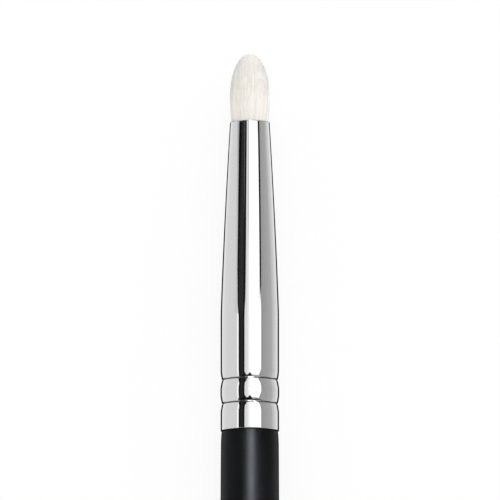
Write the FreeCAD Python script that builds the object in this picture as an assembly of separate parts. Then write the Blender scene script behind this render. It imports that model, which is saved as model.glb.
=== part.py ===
import FreeCAD, Part
import math
import os

# An eyeshadow brush with a pencil tip, lying on its side on a table. Sizes are in millimetres.
# It is turned about one axis, which runs along +X towards the hair. A station is a place on
# that axis: 0 at the ferrule's skirt, where the handle begins, and positive towards the hair.
# A point of an outline is (station, radius). The origin is under the middle of the brush.

# Ferrule: a thin brass tube, tapered to the hair, plated and crimped on the handle
ferrule_length = 42.6
ferrule_wall = 0.2
land_radius = 4.0
land_end = 15.4
bend_length = 1.8
mouth_radius = 2.72
taper_crown = 0.08
skirt_round = 0.08
mouth_round = 0.06
mouth_roll = 0.1

# Crimps: two narrow grooves rolled into the ferrule and the wood. The metal falls to each
# groove's lips over a crowned shoulder, and the barrel between them stands a little proud.
crimp_station = 3.7
crimp_pitch = 3.3
crimp_shoulder = 1.2
shoulder_fall = 0.16
shoulder_crown = 0.02
groove_depth = 0.1
groove_half_width = 0.14
groove_root = 0.05
barrel_crown = 0.025

# Handle: turned birch under a coat of black lacquer, with a tenon that fills the ferrule's foot
handle_length = 118.0
lacquer_coat = 0.15
shoulder_radius = 3.85
neck_length = 2.4
neck_radius = 3.97
belly_station = 30.0
belly_radius = 4.05
butt_radius = 2.1
butt_dome = 1.9
tenon_length = 14.0
tenon_chamfer = 0.5

# Tenon glue: the film between the tenon and the ferrule, kept back from the skirt
glue_film = 0.12
glue_setback = 0.4

# Tuft: one bundle of goat hair, cupped to a bullet outside the ferrule and tied inside it
tuft_length = 9.5
tuft_radius = 2.75
tuft_swell = 3.4
root_depth = 13.0
tie_radius = 2.2
tie_taper = 6.0

# Share of a full corner that the bullet's outline keeps. An ellipse keeps the root of a half.
tip_corner_share = 0.74

# Binding thread, wound in touching turns just outside the hair's glue plug
thread_size = 0.28
thread_turns = 6

# Glue plug: it holds the hair's cut ends in the ferrule
plug_grip = 3.0
plug_floor = 1.6

# Derived places
mouth_start = ferrule_length - mouth_roll
mouth_bore = mouth_radius - ferrule_wall
root_station = ferrule_length - root_depth
tie_station = ferrule_length - tie_taper
tenon_depth = ferrule_wall + glue_film
overall_length = handle_length + ferrule_length + tuft_length
skirt_x = handle_length - overall_length / 2
axis_height = max(belly_radius, neck_radius, land_radius, land_radius + barrel_crown, tuft_radius)

AXIS_POINT = FreeCAD.Vector(0, 0, axis_height)
AXIS_DIRECTION = FreeCAD.Vector(1, 0, 0)
FULL_TURN = 360
ELLIPSE_CORNER_SHARE = math.sqrt(0.5)


def spot(point):
    """The place in space of an outline's (station, radius)."""
    station, radius = point
    return FreeCAD.Vector(skirt_x + station, 0, axis_height + radius)


def line(start, end):
    return Part.LineSegment(spot(start), spot(end)).toShape()


def arc(start, middle, end):
    return Part.Arc(spot(start), spot(middle), spot(end)).toShape()


def level_arc(crest, end):
    """The arc that leaves its crest parallel to the axis and runs to the end."""
    run = end[0] - crest[0]
    drop = crest[1] - end[1]
    if drop == 0:
        return line(crest, end)
    quarter = math.atan2(drop, abs(run)) / 2
    reach = math.hypot(run, drop) / (2 * math.cos(quarter))
    along = math.copysign(reach * math.cos(quarter), run)
    middle = (crest[0] + along, crest[1] - reach * math.sin(quarter))
    return arc(crest, middle, end)


def crowned_line(start, end, crown):
    """An arc between two points that stands out from the line between them by the crown."""
    middle = ((start[0] + end[0]) / 2, (start[1] + end[1]) / 2 + crown)
    return arc(start, middle, end)


def dome(station, reach, radius, corner_share=ELLIPSE_CORNER_SHARE):
    """A quarter oval from the full radius at a station to the axis, reach further along."""
    curve = Part.BezierCurve()
    poles = [(station, radius), (station + reach, radius), (station + reach, 0)]
    curve.setPoles([spot(pole) for pole in poles])
    curve.setWeight(2, corner_share)
    return curve.toShape()


def turned(edges):
    """The solid that a closed outline makes when it is turned about the brush's axis."""
    outline = Part.Wire(Part.__sortEdges__(edges))
    solid = Part.Face(outline).revolve(AXIS_POINT, AXIS_DIRECTION, FULL_TURN)
    return solid if solid.ShapeType == "Solid" else solid.Solids[0]


def crimp_line(station, depth, radius_below, radius_above):
    """One crimp's outline, set in by the depth: two shoulders, two flanks and the root's arc."""
    lip = land_radius - shoulder_fall - depth
    root = lip - groove_depth
    flank_angle = math.atan2(groove_depth, groove_half_width - groove_root)
    root_sag = groove_root * math.tan(flank_angle / 2)
    lip_below = (station - groove_half_width, lip)
    lip_above = (station + groove_half_width, lip)
    root_below = (station - groove_root, root)
    root_above = (station + groove_root, root)
    shoulder_below = (station - crimp_shoulder, radius_below - depth)
    shoulder_above = (station + crimp_shoulder, radius_above - depth)
    return [
        crowned_line(shoulder_below, lip_below, shoulder_crown),
        line(lip_below, root_below),
        arc(root_below, (station, root - root_sag), root_above),
        line(root_above, lip_above),
        crowned_line(lip_above, shoulder_above, shoulder_crown),
    ]


def foot_line(depth, start, end):
    """The crimped foot from a station on the skirt to one on the land, set in by the depth."""
    second_crimp = crimp_station + crimp_pitch
    land = land_radius - depth
    barrel_radius = land_radius + barrel_crown
    barrel = barrel_radius - depth
    barrel_start = crimp_station + crimp_shoulder
    barrel_end = second_crimp - crimp_shoulder
    return [
        line((start, land), (crimp_station - crimp_shoulder, land)),
        *crimp_line(crimp_station, depth, land_radius, barrel_radius),
        line((barrel_start, barrel), (barrel_end, barrel)),
        *crimp_line(second_crimp, depth, barrel_radius, land_radius),
        line((second_crimp + crimp_shoulder, land), (end, land)),
    ]


def taper_line(depth):
    """The bend and the long taper from the land to the mouth, set in by the depth.

    The bend ends at the slope that the crowned taper starts with. A shallow arc over a line
    differs from it in slope at its ends by four crowns for each length of the line.
    """
    bend_end = land_end + bend_length
    taper_length = mouth_start - bend_end
    fall = land_radius - mouth_radius - 4 * taper_crown
    bend_drop = fall / (2 * taper_length / bend_length + 1)
    bend = (bend_end, land_radius - bend_drop - depth)
    mouth = (mouth_start, mouth_radius - depth)
    return [
        level_arc((land_end, land_radius - depth), bend),
        crowned_line(bend, mouth, taper_crown),
    ]


def bore_line():
    """The ferrule's inner wall from the skirt to the mouth."""
    return [
        *foot_line(ferrule_wall, 0, land_end),
        *taper_line(ferrule_wall),
        line((mouth_start, mouth_bore), (ferrule_length, mouth_bore)),
    ]


def handle_line(depth):
    """The handle's outline from its shoulder to the end of its butt, set in by the depth."""
    shoulder = (0, shoulder_radius - depth)
    neck = (-neck_length, neck_radius - depth)
    belly = (-belly_station, belly_radius - depth)
    butt = (butt_dome - handle_length, butt_radius - depth)
    return [
        level_arc(neck, shoulder),
        level_arc(belly, neck),
        level_arc(belly, butt),
        dome(butt[0], depth - butt_dome, butt[1]),
    ]


def make_ferrule():
    rim = ferrule_length, mouth_radius - mouth_round
    skirt = 0, land_radius - skirt_round
    return turned([
        line((0, land_radius - ferrule_wall), skirt),
        level_arc((skirt_round, land_radius), skirt),
        *foot_line(0, skirt_round, land_end),
        *taper_line(0),
        level_arc((mouth_start, mouth_radius), rim),
        line(rim, (ferrule_length, mouth_bore)),
        *bore_line(),
    ])


def make_handle_core():
    tenon_radius = land_radius - tenon_depth
    chamfer_start = tenon_length - tenon_chamfer
    end_radius = tenon_radius - tenon_chamfer
    return turned([
        *handle_line(lacquer_coat),
        line((0, shoulder_radius - lacquer_coat), (0, tenon_radius)),
        *foot_line(tenon_depth, 0, chamfer_start),
        line((chamfer_start, tenon_radius), (tenon_length, end_radius)),
        line((tenon_length, end_radius), (tenon_length, 0)),
        line((tenon_length, 0), (lacquer_coat - handle_length, 0)),
    ])


def make_handle_lacquer():
    return turned([
        *handle_line(0),
        line((-handle_length, 0), (lacquer_coat - handle_length, 0)),
        *handle_line(lacquer_coat),
        line((0, shoulder_radius - lacquer_coat), (0, shoulder_radius)),
    ])


def make_tenon_glue():
    glue_end = tenon_length - tenon_chamfer
    inner = land_radius - tenon_depth
    outer = land_radius - ferrule_wall
    return turned([
        *foot_line(tenon_depth, glue_setback, glue_end),
        line((glue_end, inner), (glue_end, outer)),
        *foot_line(ferrule_wall, glue_setback, glue_end),
        line((glue_setback, inner), (glue_setback, outer)),
    ])


def make_hair_tuft():
    widest = ferrule_length + tuft_swell
    return turned([
        line((root_station, 0), (root_station, tie_radius)),
        line((root_station, tie_radius), (tie_station, tie_radius)),
        line((tie_station, tie_radius), (ferrule_length, mouth_bore)),
        level_arc((widest, tuft_radius), (ferrule_length, mouth_bore)),
        dome(widest, tuft_length - tuft_swell, tuft_radius, tip_corner_share),
        line((ferrule_length + tuft_length, 0), (root_station, 0)),
    ])


def make_tuft_thread():
    """The thread's turns as one ring with a rib for each turn."""
    start = root_station + plug_grip
    end = start + thread_turns * thread_size
    groove_radius = tie_radius + thread_size / 2
    ribs = []
    for turn in range(thread_turns):
        turn_start = start + turn * thread_size
        ribs.append(arc(
            (turn_start, groove_radius),
            (turn_start + thread_size / 2, tie_radius + thread_size),
            (turn_start + thread_size, groove_radius),
        ))
    return turned([
        line((start, tie_radius), (start, groove_radius)),
        *ribs,
        line((end, groove_radius), (end, tie_radius)),
        line((end, tie_radius), (start, tie_radius)),
    ])


def make_hair_glue_plug(tuft):
    """The stretch of the ferrule's bore that holds the hair's cut ends, less the hair."""
    bore = turned([
        *bore_line(),
        line((0, 0), (0, land_radius - ferrule_wall)),
        line((ferrule_length, 0), (ferrule_length, mouth_bore)),
        line((0, 0), (ferrule_length, 0)),
    ])
    floor = root_station - plug_floor
    slab = Part.makeCylinder(
        land_radius,
        plug_floor + plug_grip,
        FreeCAD.Vector(skirt_x + floor, 0, axis_height),
        AXIS_DIRECTION,
    )
    return bore.common(slab).cut(tuft).Solids[0]


def main():
    tuft = make_hair_tuft()
    pieces = {
        "ferrule": make_ferrule(),
        "handle_core": make_handle_core(),
        "handle_lacquer": make_handle_lacquer(),
        "tenon_glue": make_tenon_glue(),
        "hair_tuft": tuft,
        "tuft_thread": make_tuft_thread(),
        "hair_glue_plug": make_hair_glue_plug(tuft),
    }
    os.makedirs("parts", exist_ok=True)
    for name, shape in pieces.items():
        shape.exportStep(f"parts/{name}.step")
        print(name, "valid" if shape.isValid() else "NOT VALID", round(shape.Volume, 3), "mm3")


main()
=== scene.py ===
import math
from typing import NamedTuple

import bpy
import numpy as np
from mathutils import Matrix, Vector


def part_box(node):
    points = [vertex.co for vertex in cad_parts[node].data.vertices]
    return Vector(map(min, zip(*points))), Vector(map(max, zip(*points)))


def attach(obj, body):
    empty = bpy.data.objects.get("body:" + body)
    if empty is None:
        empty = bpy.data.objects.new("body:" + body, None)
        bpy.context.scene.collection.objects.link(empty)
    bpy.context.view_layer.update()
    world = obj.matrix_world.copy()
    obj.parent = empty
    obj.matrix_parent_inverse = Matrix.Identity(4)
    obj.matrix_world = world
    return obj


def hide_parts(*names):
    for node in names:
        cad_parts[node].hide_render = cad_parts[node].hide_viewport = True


# An eyeshadow brush lying on a white table: a plated ferrule, a black lacquered handle and a tuft
# of white goat hair. Lengths are in metres and angles in degrees. The brush's axis runs along +X
# towards the hair, and the camera sees +X as up and -Y as right. A station is a place on the axis,
# 0 at the ferrule's skirt. A point of an outline is (station, radius).

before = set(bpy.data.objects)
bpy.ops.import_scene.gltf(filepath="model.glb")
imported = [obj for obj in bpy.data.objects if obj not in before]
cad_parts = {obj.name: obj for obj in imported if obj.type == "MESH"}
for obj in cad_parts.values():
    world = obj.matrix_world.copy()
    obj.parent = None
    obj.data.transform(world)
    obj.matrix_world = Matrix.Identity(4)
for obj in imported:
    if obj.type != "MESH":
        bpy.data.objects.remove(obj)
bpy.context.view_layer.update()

FERRULE_LOW, FERRULE_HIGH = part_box("ferrule")
TUFT_LOW, TUFT_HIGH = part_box("hair_tuft")
AXIS_HEIGHT = (FERRULE_LOW.z + FERRULE_HIGH.z) / 2
BARREL_RADIUS = (FERRULE_HIGH.y - FERRULE_LOW.y) / 2
SKIRT_X = FERRULE_LOW.x
MOUTH = FERRULE_HIGH.x - SKIRT_X
TIP = TUFT_HIGH.x - SKIRT_X
ROOT = TUFT_LOW.x - SKIRT_X

# Camera: it looks straight down on the brush, but for a tilt towards the handle
PICTURE_PIXELS = 500
PIXEL = 0.1369e-3
SKIRT_PIXEL_ROW = 431.0
AXIS_PIXEL_COLUMN = 249.84
CAMERA_TILT = 7.5
CAMERA_DISTANCE = 3.0
SENSOR = 36

# Light: one soft lamp over the brush's right side and its hair end, and an even fill from all round
LAMP_TILT_RIGHT = 20
LAMP_TILT_AHEAD = 62
LAMP_SPREAD = 80
LAMP_LEVEL = 0.21
FILL_LEVEL = 0.8

# Floor: pale paint. The camera sees part of its light as the paint's and the rest as plain white.
FLOOR_SIZE = 8.0
FLOOR_PALE = 0.9
FLOOR_SHADE_SHARE = 0.13

# The floor as gloss sees it, with painted light and shade: a painted contact shadow, dark up to
# these many times the brush's radius from its axis, then painted light, brightest just beyond and
# paler further out. Its right side is painted dimmer. The taper hangs over the floor, so that its
# painted shadow band is the wider one.
CONTACT_SHARE = 1.95
TAPER_CONTACT_SHARE = 2.2
CONTACT_BLUR = 0.8e-3
CONTACT_SHADOW_GLOW = 0.01
NEAR_REACH = 9.5e-3
FAR_REACH = 60.0e-3
NEAR_GLOW = 0.95
MIDDLE_GLOW = 0.83
FAR_GLOWS = (0.79, 0.49)

# Ferrule: a thin tube with a rounded skirt, two crimps, a bend, a long crowned taper and a
# rolled mouth. The roll leaves out its first steps, which lie nearly level and would mirror the
# softbox's hot core as a bright speck.
FERRULE_WALL = 0.2e-3
BARREL_CROWN = 0.025e-3
LAND_RADIUS = BARREL_RADIUS - BARREL_CROWN
LAND_END = 15.4e-3
BEND_LENGTH = 1.8e-3
MOUTH_RADIUS = 2.72e-3
TAPER_CROWN = 0.08e-3
SKIRT_ROUND = 0.08e-3
MOUTH_ROUND = 0.06e-3
MOUTH_ROLL = 0.1e-3
LEVEL_ROLL_STEPS = 6
CRIMP_STATION = 3.7e-3
CRIMP_PITCH = 3.3e-3
CRIMP_SHOULDER = 1.2e-3
SHOULDER_FALL = 0.16e-3
SHOULDER_CROWN = 0.02e-3
GROOVE_DEPTH = 0.1e-3
GROOVE_HALF_WIDTH = 0.14e-3
GROOVE_ROOT = 0.05e-3
# Painted shade: the crimps' grooves are coloured dark out to this half width from their middles
GROOVE_SHADE_HALF_WIDTH = 0.15e-3
# Painted shade: the mouth's roll is coloured dark, up to this share of the dark colour
RIM_SHADE_SHARE = 0.5

# Handle: a neck, a belly and a long fall to a rounded butt. Its lacquer turns dull just below the
# skirt.
SHOULDER_RADIUS = 3.85e-3
NECK_LENGTH = 2.4e-3
NECK_RADIUS = 3.97e-3
BELLY_STATION = 30.0e-3
BELLY_RADIUS = 4.05e-3
HANDLE_LENGTH = 118.0e-3
BUTT_RADIUS = 2.1e-3
BUTT_DOME = 1.9e-3
DULL_REACH = 0.2e-3

# Tuft: one bundle of hair, tied inside the ferrule and cupped to a bullet outside it. An ellipse
# keeps the root of a half of a full corner, and the bullet keeps more. A hair has four sides, so
# that the faces at its ends are quads like those along it.
TUFT_RADIUS = 2.75e-3
TUFT_SWELL = 3.4e-3
TIE_RADIUS = 2.2e-3
TIE_TAPER = 6.0e-3
TIP_CORNER_SHARE = 0.74
ELLIPSE_CORNER_SHARE = math.sqrt(0.5)
HAIR_SEED = 7
HAIR_COUNT = 5200
HAIR_SIDES = 4
HAIR_WIDTH = 0.068e-3
HAIR_TIP_WIDTH = 0.024e-3
HAIR_THICKNESS_SHARE = 0.5
HAIR_TAPER = 1.0e-3
HAIR_TAPER_POWER = 0.7
HAIR_ROOT_DEPTH = 0.8e-3
HAIR_VISIBLE_LENGTH = 3.2e-3
HAIR_WAVE = 0.022e-3
HAIR_WAVE_COUNTS = (0.6, 1.6)
HAIR_END_SCATTER = 0.03e-3
FLANK_SHARE = 0.9
FLANK_RINGS = 16
CROWN_RINGS = 6
GATHER_SHARE = 0.8
CORE_DEPTH = 0.05e-3

# The hairs' tones, from 0 for a warm shade to 1 for the whitest: they vary by hair, by lock and
# in streaks along the hairs
MEAN_TONE = 0.52
HAIR_TONE = 0.25
LOCK_TONE = 0.06
LOCK_COUNTS = (17, 29, 43, 61, 79)
STREAK_TONE = 0.3

# How far the hairs' shading follows the bundle's shape rather than each hair's own roundness
BUNDLE_SHADE_SHARE = 0.75

# Turned pieces: their faces about the axis, and the least angle that shows as a crease. Below 1,
# the power makes a dome's rings crowd towards its tip.
SEGMENTS = 192
COARSE_CREASE = 25
FINE_CREASE = 2.4
DOME_POWER = 0.8

# Sizes on the bake maps: the ends of a turned piece on its map, and a hair in its own cell
UV_CAP_SIZE = 0.04
UV_HAIR_SIZE = 0.4

# Relief of the surfaces, too fine for the meshes
DRAW_LINE_DEPTH = 6e-8
PEBBLE_DEPTH = 8e-7
FIBRE_DEPTH = 1e-5
GRAIN_DEPTH = 2e-5
LUMP_DEPTH = 3e-5
PLY_DEPTH = 3e-5

# The values that most noise lies between. The noise of the hair's locks is held to fewer.
NOISE_LOW = 0.3
NOISE_HIGH = 0.7
LOCK_NOISE_LOW = 0.35
LOCK_NOISE_HIGH = 0.65

# The waves of the thread's plies, in radians: for each radian about the axis, and for each metre
# along it
PLIES_AROUND = 60
PLIES_ALONG = 2e4


class Card(NamedTuple):
    """A card of the studio as gloss sees it: a patch with two straight edges. All are angles.

    The azimuth runs about the brush's axis, from straight up, positive to the picture's right.
    Along is the angle out of the plane across the brush, positive towards the hair. Left and
    right are the azimuths of the card's edges at its two ends along. The brightness runs from
    the left edge to the right one. The blurs are those of the left edge, right edge and ends.
    """

    along: tuple
    left: tuple
    right: tuple
    luminance: tuple
    blur: tuple = (0.8, 0.8, 1)


# The studio: pale walls, with cards that each lie over those before them. A black flag's
# luminance runs from its left edge to its right one. The ferrule's straight parts mirror what is
# 7.5 along, its taper what is 11 to 15 along, and its crimps' shoulders what lies further out.
WALL_LUMINANCE = 0.8
ALL_ALONG = (-90, 90)
FLAG = (0.006, 0.01)
STUDIO = [
    # Left wall, with a strip of light at its edge. The wall darkens there beside the taper.
    Card(ALL_ALONG, (-100, -100), (-44, -44), (0.8, 0.76)),
    Card((-30, 45), (-52, -52), (-44, -44), (1.15, 1.15), (2, 1, 1)),
    Card((8.2, 15), (-62, -62), (-44, -44), (0.71, 0.71), (4, 1, 1)),
    Card((11.6, 13.8), (-57, -80), (-44, -44), (0.6, 0.42), (5, 1, 0.5)),
    Card((13.3, 15.1), (-82, -82), (-56, -56), (0.72, 0.2), (5, 1, 0.4)),
    # Right wall
    Card(ALL_ALONG, (44, 44), (100, 100), (0.36, 0.5)),
    # Softbox: pale at its left side, wider beside the rim, with a hot core for the lacquer's gloss
    Card((-40, 60), (-24, -24), (-12, -12), (0.87, 0.85)),
    Card((-40, 60), (-12, -12), (3, 3), (0.85, 1.3)),
    Card((-40, 60), (3, 3), (45.5, 45.5), (1.35, 1.35)),
    Card((12.4, 15), (40, 40), (44, 51), (1.35, 1.35)),
    Card((12.8, 16), (-9.5, -9.5), (-4.5, -4.5), (0.68, 0.68), (1.5, 1.5, 1)),
    Card((9, 14.5), (1.3, 1.3), (8.7, 8.7), (460, 460)),
    # The right wall again, where the softbox's corners are cut off
    Card((23.5, 33), (45.5, 37), (60, 60), (0.37, 0.42)),
    Card((33, 42), (37, 37), (60, 60), (0.4, 0.42)),
    Card((-16, -1), (37, 45.5), (60, 60), (0.37, 0.42)),
    # Black flag between the wall and the softbox: wider beside the taper and at the softbox's
    # cut corners, with a faint glow down its middle
    Card(ALL_ALONG, (-45.2, -45.2), (-20.9, -20.9), FLAG),
    Card((7.5, 11.3), (-45.4, -50.6), (-20.9, -19.4), FLAG, (0.8, 0.8, 0.2)),
    Card((11.2, 11.7), (-50.6, -54.2), (-19.4, -17.5), FLAG, (0.8, 0.8, 0.2)),
    Card((11.6, 12.5), (-54.2, -56), (-17.5, -16.5), FLAG, (0.8, 0.8, 0.2)),
    Card((12.4, 15), (-56, -70), (-16.5, -17.5), FLAG, (0.8, 0.8, 0.2)),
    Card((24.5, 33), (-46.5, -53), (-20.9, -12), FLAG),
    Card((33, 45), (-53, -53), (-12, -12), FLAG),
    Card((-16, -9), (-46.5, -45.2), (-14, -20.9), FLAG),
    Card(ALL_ALONG, (-39, -39), (-27, -27), (0.024, 0.024), (4, 4, 1)),
    Card((9, 16), (-46, -46), (-26, -26), (0.032, 0.032), (6, 5, 3)),
    Card((13.3, 16), (-28.5, -33.5), (-24, -28.5), (0.1, 0.1), (2, 2, 1)),
    # Narrow flag between the softbox and the right wall, beside the taper
    Card((11.4, 14), (40, 46), (46.5, 57), FLAG, (0.6, 1, 0.2)),
    Card((13.9, 15.1), (46, 47), (57, 59), FLAG, (0.6, 1, 0.2)),
    # The dark room below the softbox, and the camera on its arm
    Card((-90, -15.1), (-50, -50), (10, 10), FLAG, (1, 3, 0.8)),
    Card((-18.4, -15.1), (10, 10), (46, 46), (0.45, 0.4), (3, 1, 0.8)),
    Card((-90, -18.2), (10, 10), (48.5, 48.5), FLAG, (0.5, 1, 0.5)),
    Card((-90, -17.2), (22, 22), (48.5, 48.5), FLAG, (8, 1, 0.5)),
    Card((-15.5, -10.3), (-8.5, 0), (8, 0.6), FLAG),
]


def node(tree, kind, inputs, **settings):
    """A new shader node. An input is another node's output, or a value."""
    made = tree.nodes.new("ShaderNode" + kind)
    for name, value in settings.items():
        setattr(made, name, value)
    for key, value in inputs.items():
        if isinstance(value, bpy.types.NodeSocket):
            tree.links.new(value, made.inputs[key])
        else:
            made.inputs[key].default_value = value
    return made


def maths(tree, operation, *values):
    return node(tree, "Math", dict(enumerate(values)), operation=operation).outputs[0]


def remapped(tree, value, first, last, to_first=0, to_last=1, smooth=False):
    """The value taken from the range first to last, and held at its ends, to another range."""
    kind = "SMOOTHSTEP" if smooth else "LINEAR"
    limits = {
        "Value": value,
        "From Min": first,
        "From Max": last,
        "To Min": to_first,
        "To Max": to_last,
    }
    return node(tree, "MapRange", limits, interpolation_type=kind).outputs[0]


def rise(tree, value, edge, width):
    """0 below the edge and 1 above it, with a smooth step of that width."""
    return remapped(tree, value, edge - width / 2, edge + width / 2, smooth=True)


def mixed(tree, factor, first, second):
    """A number that goes from the first to the second as the factor goes from 0 to 1."""
    return node(tree, "Mix", {0: factor, 2: first, 3: second}, data_type="FLOAT").outputs[0]


def mixed_colour(tree, factor, first, second):
    colours = {6: (*first, 1), 7: (*second, 1)}
    return node(tree, "Mix", {0: factor, **colours}, data_type="RGBA").outputs[2]


def ramp(tree, factor, stops):
    """A colour ramp through (place, colour) stops."""
    made = node(tree, "ValToRGB", {"Fac": factor})
    elements = made.color_ramp.elements
    while len(elements) < len(stops):
        elements.new(1)
    for element, (place, colour) in zip(elements, stops):
        element.position = place
        element.color = (*colour, 1)
    return made.outputs["Color"]


def new_material(name):
    material = bpy.data.materials.new(name)
    material.use_nodes = True
    material.node_tree.nodes.clear()
    return material, material.node_tree


def finish_material(tree, inputs):
    shader = node(tree, "BsdfPrincipled", inputs)
    node(tree, "OutputMaterial", {"Surface": shader.outputs[0]})


def ray_is(tree, *kinds):
    """1 for rays of any of these kinds, and otherwise 0."""
    path = node(tree, "LightPath", {})
    found = path.outputs[f"Is {kinds[0]} Ray"]
    for kind in kinds[1:]:
        found = maths(tree, "MAXIMUM", found, path.outputs[f"Is {kind} Ray"])
    return found


def link(thing):
    bpy.context.scene.collection.objects.link(thing)
    return thing


def make_camera():
    """The camera, with the skirt and the brush's axis in their row and column of the picture."""
    tilt = math.radians(CAMERA_TILT)
    centre = PICTURE_PIXELS / 2
    above_skirt = (SKIRT_PIXEL_ROW - centre) * PIXEL / math.cos(tilt)
    left_of_axis = (AXIS_PIXEL_COLUMN - centre) * PIXEL
    target = Vector((SKIRT_X + above_skirt, left_of_axis, AXIS_HEIGHT))
    back = Vector((-math.sin(tilt), 0, math.cos(tilt)))
    right = Vector((0, -1, 0))
    data = bpy.data.cameras.new("camera")
    data.sensor_width = SENSOR
    data.lens = SENSOR * CAMERA_DISTANCE / (PICTURE_PIXELS * PIXEL)
    camera = link(bpy.data.objects.new("camera", data))
    camera.location = target + back * CAMERA_DISTANCE
    camera.rotation_euler = Matrix((right, back.cross(right), back)).transposed().to_euler()
    bpy.context.scene.camera = camera


def card_edge(tree, share, azimuths):
    """Where a card's edge lies, at a share of the way from one end of the card to the other."""
    first, last = azimuths
    return first if first == last else mixed(tree, share, first, last)


def studio_luminance(tree):
    """What gloss sees above the floor: the walls, and each card over those before it."""
    coordinates = node(tree, "TexCoord", {})
    x, y, z = node(tree, "SeparateXYZ", {0: coordinates.outputs["Generated"]}).outputs
    to_right = maths(tree, "MULTIPLY", y, -1)
    azimuth = maths(tree, "DEGREES", maths(tree, "ARCTAN2", to_right, z))
    along = maths(tree, "DEGREES", maths(tree, "ARCSINE", x))
    luminance = WALL_LUMINANCE
    for card in STUDIO:
        share = remapped(tree, along, *card.along)
        past_left = maths(tree, "SUBTRACT", azimuth, card_edge(tree, share, card.left))
        past_right = maths(tree, "SUBTRACT", azimuth, card_edge(tree, share, card.right))
        left_blur, right_blur, end_blur = card.blur
        edges = [
            rise(tree, past_left, 0, left_blur),
            maths(tree, "SUBTRACT", 1, rise(tree, past_right, 0, right_blur)),
        ]
        if card.along != ALL_ALONG:
            edges.append(rise(tree, along, card.along[0], end_blur))
            edges.append(maths(tree, "SUBTRACT", 1, rise(tree, along, card.along[1], end_blur)))
        mask = edges[0]
        for edge in edges[1:]:
            mask = maths(tree, "MULTIPLY", mask, edge)
        shade = remapped(tree, azimuth, card.left[0], card.right[0], *card.luminance)
        luminance = mixed(tree, mask, luminance, shade)
    return luminance


def make_world():
    """White behind the brush, an even fill, and the studio's cards in what gloss sees."""
    world = bpy.data.worlds.new("studio")
    bpy.context.scene.world = world
    world.use_nodes = True
    world.cycles.sampling_method = "NONE"
    tree = world.node_tree
    tree.nodes.clear()
    backdrop = mixed(tree, ray_is(tree, "Camera", "Transmission"), FILL_LEVEL, 1)
    strength = mixed(tree, ray_is(tree, "Glossy"), backdrop, studio_luminance(tree))
    shader = node(tree, "Background", {"Color": (1, 1, 1, 1), "Strength": strength})
    node(tree, "OutputWorld", {"Surface": shader.outputs[0]})


def make_lamp():
    """A lamp strong enough to make up for its tilt, so that a flat white shows its level."""
    right = math.radians(LAMP_TILT_RIGHT)
    ahead = math.radians(LAMP_TILT_AHEAD)
    data = bpy.data.lights.new("lamp", "SUN")
    data.angle = math.radians(LAMP_SPREAD)
    data.energy = LAMP_LEVEL * math.pi / (math.cos(right) * math.cos(ahead))
    lamp = link(bpy.data.objects.new("lamp", data))
    lamp.rotation_euler = (right, ahead, 0)
    lamp.visible_glossy = False


def floor_gloss(tree):
    """The floor's glow in gloss, by distance from the brush: a painted contact shadow near it and
    painted light beyond.
    """
    place = node(tree, "TexCoord", {}).outputs["Object"]
    x, y, _ = node(tree, "SeparateXYZ", {0: place}).outputs
    distance = maths(tree, "ABSOLUTE", y)
    taper = (SKIRT_X + LAND_END, SKIRT_X + MOUTH)
    reaches = (CONTACT_SHARE * LAND_RADIUS, TAPER_CONTACT_SHARE * MOUTH_RADIUS)
    contact = remapped(tree, x, *taper, *reaches)
    past_contact = maths(tree, "SUBTRACT", distance, contact)
    near = remapped(tree, past_contact, 0, NEAR_REACH, NEAR_GLOW, MIDDLE_GLOW)
    far_glow = mixed(tree, maths(tree, "LESS_THAN", y, 0), *FAR_GLOWS)
    far_share = maths(tree, "SQRT", remapped(tree, distance, NEAR_REACH, FAR_REACH))
    open_glow = mixed(tree, far_share, near, far_glow)
    # Painted contact shadow next to the brush, painted light beyond it
    return mixed(tree, rise(tree, past_contact, 0, CONTACT_BLUR), CONTACT_SHADOW_GLOW, open_glow)


def floor_material():
    """Pale paint. Camera and transmission rays also see it glow, so it shows white. Glossy rays see
    only the glow of floor_gloss, with its painted contact shadow and painted light.
    """
    material, tree = new_material("floor")
    seen = ray_is(tree, "Camera", "Transmission")
    in_gloss = ray_is(tree, "Glossy")
    shade = FLOOR_PALE * FLOOR_SHADE_SHARE
    paint = mixed(tree, in_gloss, mixed(tree, seen, FLOOR_PALE, shade), 0)
    glow = mixed(tree, in_gloss, maths(tree, "MULTIPLY", seen, 1 - shade), floor_gloss(tree))
    diffuse = node(tree, "BsdfDiffuse", {"Color": paint})
    emission = node(tree, "Emission", {"Strength": glow})
    surface = node(tree, "AddShader", {0: diffuse.outputs[0], 1: emission.outputs[0]})
    node(tree, "OutputMaterial", {"Surface": surface.outputs[0]})
    return material


def make_floor():
    half = FLOOR_SIZE / 2
    corners = [(-half, -half, 0), (half, -half, 0), (half, half, 0), (-half, half, 0)]
    mesh = bpy.data.meshes.new("floor")
    mesh.from_pydata(corners, [], [(0, 1, 2, 3)])
    mesh.materials.append(floor_material())
    link(bpy.data.objects.new("floor", mesh))


def around_axis(tree):
    """The place along the brush, and the direction from its axis."""
    place = node(tree, "TexCoord", {}).outputs["Object"]
    x, y, z = node(tree, "SeparateXYZ", {0: place}).outputs
    above = maths(tree, "SUBTRACT", z, AXIS_HEIGHT)
    across = node(tree, "CombineXYZ", {0: 0, 1: y, 2: above}).outputs[0]
    return x, node(tree, "VectorMath", {0: across}, operation="NORMALIZE").outputs[0]


def noise(tree, place, scale, detail):
    return node(tree, "TexNoise", {"Vector": place, "Scale": scale, "Detail": detail}).outputs[0]


def lumps(tree, scale, detail):
    """Noise that is alike in all directions, with this many features per metre."""
    return noise(tree, node(tree, "TexCoord", {}).outputs["Object"], scale, detail)


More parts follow.
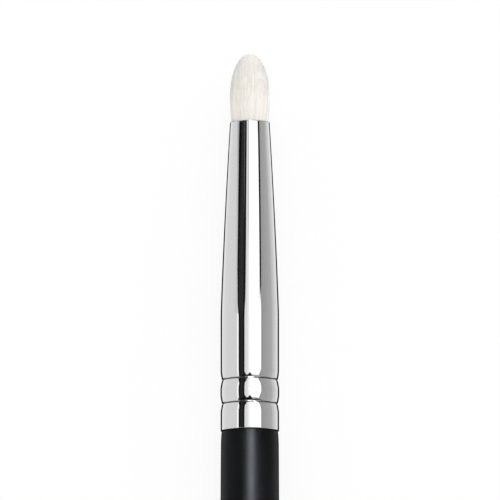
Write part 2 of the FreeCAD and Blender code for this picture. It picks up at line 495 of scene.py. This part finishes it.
def streaks(tree, along, around, detail):
    """Noise drawn out along the brush: features per metre along it, and per radian about it."""
    x, direction = around_axis(tree)
    spread = node(tree, "VectorMath", {0: direction, "Scale": around}, operation="SCALE")
    _, y, z = node(tree, "SeparateXYZ", {0: spread.outputs[0]}).outputs
    stretched = node(tree, "CombineXYZ", {0: maths(tree, "MULTIPLY", x, along), 1: y, 2: z})
    return noise(tree, stretched.outputs[0], 1, detail)


def spanned(tree, noise_value, first, last):
    """Noise taken to the range first to last."""
    return remapped(tree, noise_value, NOISE_LOW, NOISE_HIGH, first, last)


def relief(tree, height, depth):
    """The normal of a surface whose relief is this deep."""
    return node(tree, "Bump", {"Height": height, "Strength": 1, "Distance": depth}).outputs[0]


def chrome_material():
    """Bright plating: draw lines, a handled bloom, painted shade in the grooves, where the plating
    also turns rougher, and painted shade at the rim.
    """
    material, tree = new_material("plated_metal")
    plating = (0.8, 0.8, 0.81)
    # The dark colour of the painted shade in the grooves and at the rim
    shade_colour = (0.07, 0.07, 0.07)
    x, _ = around_axis(tree)
    # Painted shade in the crimps' grooves, where the plating also turns rougher
    groove_shade = 0
    for crimp in range(2):
        station = SKIRT_X + CRIMP_STATION + crimp * CRIMP_PITCH
        off_groove = maths(tree, "ABSOLUTE", maths(tree, "SUBTRACT", x, station))
        in_groove = remapped(tree, off_groove, 0, GROOVE_SHADE_HALF_WIDTH, 1, 0, smooth=True)
        groove_shade = maths(tree, "MAXIMUM", groove_shade, in_groove)
    # Painted shade at the rim: the plating darkens across the mouth's roll
    rim = SKIRT_X + MOUTH - MOUTH_ROLL
    rim_shade = remapped(tree, x, rim, rim + MOUTH_ROLL / 2, to_last=RIM_SHADE_SHARE, smooth=True)
    bloom = streaks(tree, along=120, around=3, detail=4)
    roughness = spanned(tree, bloom, 0.02, 0.045)
    draw_lines = streaks(tree, along=60, around=70, detail=3)
    finish_material(tree, {
        "Base Color": mixed_colour(tree, maths(tree, "MAXIMUM", groove_shade, rim_shade), plating, shade_colour),
        "Metallic": 1,
        "Roughness": mixed(tree, groove_shade, roughness, 0.35),
        "Normal": relief(tree, draw_lines, DRAW_LINE_DEPTH),
    })
    return material


def lacquer_material():
    """Black satin lacquer: a fine, faintly pebbled coat over turned wood, dull at the skirt."""
    material, tree = new_material("black_lacquer")
    pebble = lumps(tree, scale=9000, detail=2)
    cloud = lumps(tree, scale=900, detail=3)
    blacks = [(NOISE_LOW, (0.0022, 0.0022, 0.0022)), (NOISE_HIGH, (0.0034, 0.0034, 0.0037))]
    x, _ = around_axis(tree)
    dull = remapped(tree, x, SKIRT_X - DULL_REACH, SKIRT_X - DULL_REACH / 2, smooth=True)
    satin = spanned(tree, cloud, 0.38, 0.42)
    finish_material(tree, {
        "Base Color": ramp(tree, cloud, blacks),
        "Roughness": mixed(tree, dull, satin, 0.9),
        "Specular IOR Level": 0.125,
        "Specular Tint": (0.86, 0.91, 1, 1),
        "Normal": relief(tree, pebble, PEBBLE_DEPTH),
    })
    return material


def hair_material():
    """White goat hair: its tone varies by hair, by streak along the hairs and by lock."""
    material, tree = new_material("goat_hair")
    hair_tone = node(tree, "Attribute", {}, attribute_name="tone").outputs["Fac"]
    fine = streaks(tree, along=150, around=40, detail=2)
    lock = streaks(tree, along=500, around=22, detail=3)
    fine_tone = spanned(tree, fine, -STREAK_TONE, STREAK_TONE)
    lock_range = (LOCK_NOISE_LOW, LOCK_NOISE_HIGH)
    lock_tone = remapped(tree, lock, *lock_range, -STREAK_TONE, STREAK_TONE)
    tone = maths(tree, "ADD", maths(tree, "ADD", hair_tone, fine_tone), lock_tone)
    whites = [(0, (0.89, 0.81, 0.73)), (0.5, (0.965, 0.935, 0.88)), (1, (0.985, 0.97, 0.94))]
    finish_material(tree, {
        "Base Color": ramp(tree, tone, whites),
        "Roughness": 0.7,
        "Specular IOR Level": 0.03,
        "Sheen Weight": 0.8,
        "Normal": relief(tree, fine, FIBRE_DEPTH),
    })
    return material


def birch_material():
    """Pale birch with grain along the handle."""
    material, tree = new_material("birch")
    grain = streaks(tree, along=60, around=9, detail=6)
    browns = [
        (NOISE_LOW, (0.62, 0.45, 0.28)),
        (0.5, (0.76, 0.6, 0.42)),
        (NOISE_HIGH, (0.82, 0.68, 0.5)),
    ]
    finish_material(tree, {
        "Base Color": ramp(tree, grain, browns),
        "Roughness": spanned(tree, grain, 0.7, 0.5),
        "Normal": relief(tree, grain, GRAIN_DEPTH),
    })
    return material


def glue_material():
    """Amber glue with a slightly uneven skin."""
    material, tree = new_material("clear_glue")
    skin = lumps(tree, scale=1500, detail=3)
    ambers = [(NOISE_LOW, (0.7, 0.56, 0.28)), (NOISE_HIGH, (0.82, 0.72, 0.45))]
    finish_material(tree, {
        "Base Color": ramp(tree, skin, ambers),
        "Roughness": spanned(tree, skin, 0.12, 0.25),
        "Normal": relief(tree, skin, LUMP_DEPTH),
    })
    return material


def thread_material():
    """Waxed cotton thread: its plies show as slanted ribs round each turn, with painted shade in
    the grooves between them.
    """
    material, tree = new_material("binding_thread")
    x, around = around_axis(tree)
    _, y, z = node(tree, "SeparateXYZ", {0: around}).outputs
    turn = maths(tree, "MULTIPLY", maths(tree, "ARCTAN2", y, z), PLIES_AROUND)
    phase = maths(tree, "ADD", turn, maths(tree, "MULTIPLY", x, PLIES_ALONG))
    plies = maths(tree, "ABSOLUTE", maths(tree, "SINE", phase))
    # Painted shade: the colour darkens into the grooves between the plies
    cream_and_groove_shade = [(0, (0.55, 0.5, 0.42)), (0.6, (0.8, 0.76, 0.68))]
    finish_material(tree, {
        "Base Color": ramp(tree, plies, cream_and_groove_shade),
        "Roughness": remapped(tree, plies, 0, 1, 0.8, 0.55),
        "Normal": relief(tree, plies, PLY_DEPTH),
    })
    return material


def ring_faces(rings, sides, closed=False):
    """Quads between rings of points that follow each other along +X, facing away from the axis."""
    low = np.arange(rings if closed else rings - 1)[:, None] * sides
    high = (low + sides) % (rings * sides)
    side = np.arange(sides)
    beside = (side + 1) % sides
    return np.stack([low + side, high + side, high + beside, low + beside], -1).reshape(-1, 4)


def cap_faces(rings, sides):
    """The faces that close the first ring and the last one."""
    first = np.arange(sides)
    return [first.tolist(), (rings * sides - 1 - first).tolist()]


def set_bake_map(mesh, corner_uv):
    """Give each corner of the mesh's faces its place on the map that materials are baked to."""
    bake_map = mesh.uv_layers.new(name="OFBake")
    bake_map.uv.foreach_set("vector", corner_uv.ravel().astype(np.float32))


def turned_uv(lengths, capped):
    """The bake map of a turned piece: about the axis and along the outline, caps in a corner."""
    room = 1 - 3 * UV_CAP_SIZE if capped else 1
    up = np.append(0, np.cumsum(lengths)) / np.sum(lengths) * room
    side = np.arange(SEGMENTS) / SEGMENTS
    beside = side + 1 / SEGMENTS
    low = up[:-1, None]
    high = up[1:, None]
    corners = [(side, low), (side, high), (beside, high), (beside, low)]
    quads = np.stack([np.stack(np.broadcast_arrays(*corner), -1) for corner in corners], -2)
    parts = [quads.reshape(-1, 2)]
    if capped:
        turns = side * 2 * math.pi
        circle = np.stack([np.sin(turns), np.cos(turns)], -1) * UV_CAP_SIZE
        for place in (2 * UV_CAP_SIZE, 5 * UV_CAP_SIZE):
            parts.append(circle + (place, 1 - 1.5 * UV_CAP_SIZE))
    return np.concatenate(parts)


def turned_piece(name, outline, closed=False, crease=COARSE_CREASE):
    """A piece turned about the brush's axis from (station, radius) points."""
    station, radius = np.array(outline).T
    rings = len(station)
    turns = np.arange(SEGMENTS) * 2 * math.pi / SEGMENTS
    points = np.empty((rings, SEGMENTS, 3))
    points[..., 0] = station[:, None] + SKIRT_X
    points[..., 1] = radius[:, None] * np.sin(turns)
    points[..., 2] = radius[:, None] * np.cos(turns) + AXIS_HEIGHT
    faces = ring_faces(rings, SEGMENTS, closed).tolist()
    if not closed:
        faces += cap_faces(rings, SEGMENTS)
    mesh = bpy.data.meshes.new(name)
    mesh.from_pydata(points.reshape(-1, 3), [], faces)
    steps = np.hypot(np.diff(station, append=station[0]), np.diff(radius, append=radius[0]))
    set_bake_map(mesh, turned_uv(steps if closed else steps[:-1], not closed))
    mesh.shade_smooth()
    mesh.set_sharp_from_angle(angle=math.radians(crease))
    return link(bpy.data.objects.new(name, mesh))


def level_arc(crest, end, steps=10):
    """The arc that leaves its crest parallel to the axis and runs to the end."""
    run = end[0] - crest[0]
    drop = crest[1] - end[1]
    turn = 2 * math.atan2(drop, abs(run))
    radius = math.hypot(run, drop) ** 2 / (2 * drop)
    return [
        (crest[0] + math.copysign(radius * math.sin(angle), run),
         crest[1] - radius * (1 - math.cos(angle)))
        for angle in np.linspace(0, turn, steps)
    ]


def crowned_line(start, end, crown, steps=10):
    """A shallow arc between two points that stands out from the line between them by the crown."""
    return [
        (start[0] + share * (end[0] - start[0]),
         start[1] + share * (end[1] - start[1]) + 4 * share * (1 - share) * crown)
        for share in np.linspace(0, 1, steps)
    ]


def dome(start, reach, corner_share, steps=40):
    """A quarter oval from its full radius at the start to just short of the axis."""
    points = []
    for share in np.linspace(0, 1, steps)[:-1] ** DOME_POWER:
        full = (1 - share) ** 2
        corner = 2 * corner_share * share * (1 - share)
        total = full + corner + share ** 2
        points.append((
            start[0] + reach * (corner + share ** 2) / total,
            start[1] * (full + corner) / total,
        ))
    return points


def crimp_line(station, radius_below, radius_above):
    """One crimp: a shoulder down to the groove, its two flanks and a shoulder up again."""
    lip = LAND_RADIUS - SHOULDER_FALL
    root = lip - GROOVE_DEPTH
    lip_below = (station - GROOVE_HALF_WIDTH, lip)
    lip_above = (station + GROOVE_HALF_WIDTH, lip)
    return [
        *crowned_line((station - CRIMP_SHOULDER, radius_below), lip_below, SHOULDER_CROWN),
        (station - GROOVE_ROOT, root),
        (station + GROOVE_ROOT, root),
        *crowned_line(lip_above, (station + CRIMP_SHOULDER, radius_above), SHOULDER_CROWN),
    ]


def ferrule_outline():
    """The outer side from the skirt to the mouth, then the inner side back."""
    mouth_start = MOUTH - MOUTH_ROLL
    bend_end = LAND_END + BEND_LENGTH
    taper_length = mouth_start - bend_end
    fall = LAND_RADIUS - MOUTH_RADIUS - 4 * TAPER_CROWN
    bend_drop = fall / (2 * taper_length / BEND_LENGTH + 1)
    bend = (bend_end, LAND_RADIUS - bend_drop)
    body = [
        *crimp_line(CRIMP_STATION, LAND_RADIUS, BARREL_RADIUS),
        *crimp_line(CRIMP_STATION + CRIMP_PITCH, BARREL_RADIUS, LAND_RADIUS),
        *level_arc((LAND_END, LAND_RADIUS), bend)[:-1],
        *crowned_line(bend, (mouth_start, MOUTH_RADIUS), TAPER_CROWN, steps=40),
    ]
    inside = [(station, radius - FERRULE_WALL) for station, radius in reversed(body)]
    skirt_end = (0, LAND_RADIUS - SKIRT_ROUND)
    roll_end = (MOUTH, MOUTH_RADIUS - MOUTH_ROUND)
    return [
        *reversed(level_arc((SKIRT_ROUND, LAND_RADIUS), skirt_end, steps=45)),
        *body,
        *level_arc((mouth_start, MOUTH_RADIUS), roll_end, steps=30)[LEVEL_ROLL_STEPS:],
        (MOUTH, MOUTH_RADIUS - FERRULE_WALL),
        *inside,
        (0, LAND_RADIUS - FERRULE_WALL),
    ]


def handle_outline():
    """The handle from its butt to its shoulder."""
    neck = (-NECK_LENGTH, NECK_RADIUS)
    belly = (-BELLY_STATION, BELLY_RADIUS)
    butt = (BUTT_DOME - HANDLE_LENGTH, BUTT_RADIUS)
    return [
        *reversed(dome(butt, -BUTT_DOME, ELLIPSE_CORNER_SHARE)),
        *reversed(level_arc(belly, butt, steps=40)[:-1]),
        *level_arc(belly, neck, steps=20)[1:],
        *level_arc(neck, (0, SHOULDER_RADIUS))[1:],
    ]


def tuft_outline():
    """The tuft from the ferrule's mouth to its tip."""
    widest = (MOUTH + TUFT_SWELL, TUFT_RADIUS)
    return [
        *reversed(level_arc(widest, (MOUTH, MOUTH_RADIUS - FERRULE_WALL))[1:]),
        *dome(widest, TIP - widest[0], TIP_CORNER_SHARE, steps=200),
    ]


def place_piece(piece, slot, material, *replaced):
    """Give a piece its material, in place of the CAD nodes that it replaces. The slot is not used.
    """
    piece.data.materials.append(material)
    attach(piece, "root")
    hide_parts(*replaced)


class Bundle:
    """The hairs' way through the tuft."""

    def __init__(self):
        self.places, self.radii = np.array(tuft_outline() + [(TIP, 0)]).T
        falls = -np.gradient(self.radii, self.places)
        self.leans = np.sin(np.arctan(falls))

    def outline(self, place):
        return np.interp(place, self.places, self.radii)

    def lean(self, place):
        """How far the bundle's surface faces its tip: the sine of the angle."""
        return np.interp(place, self.places, self.leans)

    def reach(self, place):
        """The radius that the outermost hairs would have, were they not cut to the outline."""
        narrow = 1 - GATHER_SHARE + GATHER_SHARE * self.outline(place) / TUFT_RADIUS
        return np.where(place < MOUTH + TUFT_SWELL, self.outline(place), TUFT_RADIUS * narrow)

    def end(self, cut_shares):
        """Where the outline has these shares of the tuft's radius."""
        places = np.linspace(TIP, MOUTH + TUFT_SWELL, num=400)
        return np.interp(cut_shares, self.outline(places) / TUFT_RADIUS, places)


def set_tones(mesh, tones):
    attribute = mesh.attributes.new("tone", "FLOAT", "POINT")
    attribute.data.foreach_set("value", tones.astype(np.float32))


def hair_uv(count, rings):
    """The bake map of the hairs: each has its own cell, with its rings one inside the next."""
    columns = math.ceil(math.sqrt(count))
    hair = np.arange(count)[:, None, None]
    reach = UV_HAIR_SIZE * np.arange(1, rings + 1)[:, None] / rings
    turns = np.arange(HAIR_SIDES) * 2 * math.pi / HAIR_SIDES
    across = (hair % columns + 0.5 + reach * np.cos(turns)) / columns
    up = (hair // columns + 0.5 + reach * np.sin(turns)) / columns
    return np.stack([across, up], -1).reshape(-1, 2)


def strand_shape(bundle, azimuths, shares, starts, ends, rings, generator):
    """The points and the shading normals of hairs: thin, waved tubes that taper to their tips."""
    count = len(azimuths)
    steps = np.linspace(0, 1, rings)
    place = starts[:, None] + (ends - starts)[:, None] * steps
    taper = np.clip((ends[:, None] - place) / HAIR_TAPER, 0, 1) ** HAIR_TAPER_POWER
    half_width = (HAIR_TIP_WIDTH + (HAIR_WIDTH - HAIR_TIP_WIDTH) * taper) / 2
    half_thickness = HAIR_THICKNESS_SHARE * half_width
    wave_count = generator.uniform(*HAIR_WAVE_COUNTS, count)[:, None]
    phase = generator.uniform(0, 2 * math.pi, count)[:, None]
    wave = HAIR_WAVE * np.sin(2 * math.pi * wave_count * steps + phase)
    radius = shares[:, None] * (bundle.reach(place) - half_thickness)
    azimuth = azimuths[:, None] + wave / np.maximum(radius, HAIR_WIDTH)
    still = np.zeros_like(azimuth)
    outward = np.stack([still, np.sin(azimuth), np.cos(azimuth)], -1)[:, :, None]
    sideways = np.stack([still, np.cos(azimuth), -np.sin(azimuth)], -1)[:, :, None]
    centre = outward * radius[:, :, None, None]
    centre[..., 0] = place[..., None] + SKIRT_X
    centre[..., 2] += AXIS_HEIGHT
    turns = np.arange(HAIR_SIDES)[:, None] * 2 * math.pi / HAIR_SIDES
    out_part = outward * np.cos(turns)
    side_part = sideways * np.sin(turns)
    offset = out_part * half_thickness[:, :, None, None] + side_part * half_width[:, :, None, None]
    points = centre + offset

    lean = bundle.lean(place)[:, :, None, None]
    surface = outward * np.sqrt(1 - lean ** 2) + lean * np.array([1, 0, 0])
    own_part = (out_part + side_part) * (1 - BUNDLE_SHADE_SHARE)
    normals = own_part + surface * BUNDLE_SHADE_SHARE
    return points.reshape(-1, 3), normals.reshape(-1, 3)


def strand_piece(name, points, normals, tones, rings):
    """Hairs as one mesh, from the points of their rings and one tone for each hair."""
    count = len(tones)
    strand_points = rings * HAIR_SIDES
    faces = np.array(ring_faces(rings, HAIR_SIDES).tolist() + cap_faces(rings, HAIR_SIDES))
    all_faces = faces + np.arange(count)[:, None, None] * strand_points
    corner_uv = hair_uv(count, rings)[all_faces.ravel()]
    mesh = bpy.data.meshes.new(name)
    mesh.from_pydata(points, [], all_faces.reshape(-1, HAIR_SIDES).tolist())
    set_tones(mesh, np.repeat(tones, strand_points))
    set_bake_map(mesh, corner_uv)
    mesh.shade_smooth()
    mesh.normals_split_custom_set_from_vertices(normals)
    return link(bpy.data.objects.new(name, mesh))


def core_piece(bundle):
    """The bundle under the modelled hairs, down to its cut ends inside the ferrule."""
    places = np.linspace(MOUTH, TIP - 2 * CORE_DEPTH, num=60)
    grown = places + (places - MOUTH) * 2 * CORE_DEPTH / (TIP - MOUTH)
    radii = np.maximum(bundle.outline(grown) - CORE_DEPTH, CORE_DEPTH / 4)
    root = [(ROOT, TIE_RADIUS), (MOUTH - TIE_TAPER, TIE_RADIUS)]
    core = turned_piece("hair_core", root + list(zip(places, radii)))
    set_tones(core.data, np.full(len(core.data.vertices), MEAN_TONE))
    return core


def make_tuft(material):
    """The hairs, spread evenly over the tuft's section and each cut where it meets the outline."""
    generator = np.random.default_rng(HAIR_SEED)
    bundle = Bundle()
    azimuths = generator.uniform(0, 2 * math.pi, HAIR_COUNT)
    cut_shares = np.sqrt(generator.uniform(0, 1, HAIR_COUNT))
    shares = cut_shares / (1 - GATHER_SHARE + GATHER_SHARE * cut_shares)
    locks = np.zeros(HAIR_COUNT)
    for lock in LOCK_COUNTS:
        locks += np.sin(lock * azimuths + generator.uniform(0, 2 * math.pi)) * LOCK_TONE
    tones = np.clip(MEAN_TONE + locks + generator.normal(0, HAIR_TONE, HAIR_COUNT), 0, 1)
    ends = bundle.end(cut_shares) - np.abs(generator.normal(0, HAIR_END_SCATTER, HAIR_COUNT))
    mouth = MOUTH - HAIR_ROOT_DEPTH
    flank = cut_shares > FLANK_SHARE
    starts = np.where(flank, mouth, np.maximum(ends - HAIR_VISIBLE_LENGTH, mouth))
    pieces = [core_piece(bundle)]
    for name, chosen, rings in [
        ("hair_flank", flank, FLANK_RINGS),
        ("hair_crown", ~flank, CROWN_RINGS),
    ]:
        places = [values[chosen] for values in (azimuths, shares, starts, ends)]
        points, normals = strand_shape(bundle, *places, rings, generator)
        pieces.append(strand_piece(name, points, normals, tones[chosen], rings))
    for piece in pieces:
        place_piece(piece, "goat_hair", material, "hair_tuft")


bpy.context.scene.view_settings.view_transform = "Standard"
make_camera()
make_world()
make_lamp()
make_floor()

chrome = chrome_material()
lacquer = lacquer_material()
hair = hair_material()
glue = glue_material()
ferrule_tube = turned_piece("ferrule_tube", ferrule_outline(), True, FINE_CREASE)
handle_coat = turned_piece("handle_coat", handle_outline())
place_piece(ferrule_tube, "plated_metal", chrome, "ferrule")
place_piece(handle_coat, "black_lacquer", lacquer, "handle_lacquer")
make_tuft(hair)
for name, material in {
    "ferrule": chrome,
    "handle_lacquer": lacquer,
    "handle_core": birch_material(),
    "tenon_glue": glue,
    "hair_glue_plug": glue,
    "hair_tuft": hair,
    "tuft_thread": thread_material(),
}.items():
    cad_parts[name].material_slots[0].material = material
